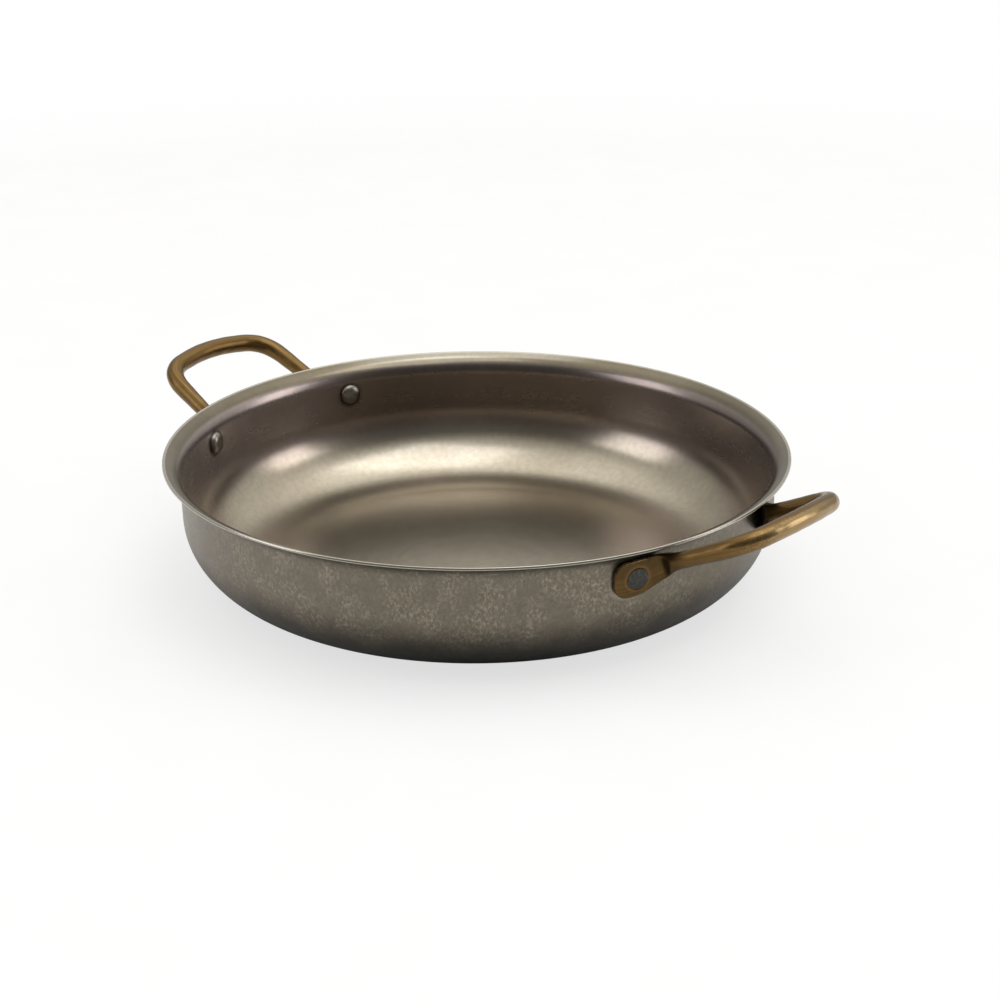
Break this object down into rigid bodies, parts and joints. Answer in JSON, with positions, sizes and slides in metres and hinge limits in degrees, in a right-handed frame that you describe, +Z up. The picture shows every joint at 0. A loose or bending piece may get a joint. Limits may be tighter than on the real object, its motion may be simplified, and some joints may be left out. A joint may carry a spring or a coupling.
{
  "type": "round serving dish",
  "caption": "Round sheet-steel serving dish with a flat base, rounded corner, flared lip and riveted brass loop handles for carrying.",
  "frame": {"origin": "centre of the dish's flat base, on the surface that it stands on", "axes": "+Z up along the dish's axis, +X through the middle of the right handle, +Y to the back"},
  "size_m": [0.2792, 0.22, 0.0564],
  "materials": {
    "dish_steel": "tumbled, aged steel with a warm grey tone, fine mottling and worn edges",
    "handle_brass": "cast brass, aged to a dull gold, darker round the lugs",
    "rivet_steel": "plain steel, satin"
  },
  "bodies": {
    "root": {"dish_shell": "dish_steel", "handle_right": "handle_brass", "handle_left": "handle_brass", "rivet_right_front": "rivet_steel", "rivet_right_back": "rivet_steel", "rivet_left_front": "rivet_steel", "rivet_left_back": "rivet_steel"}
  },
  "joints": []
}
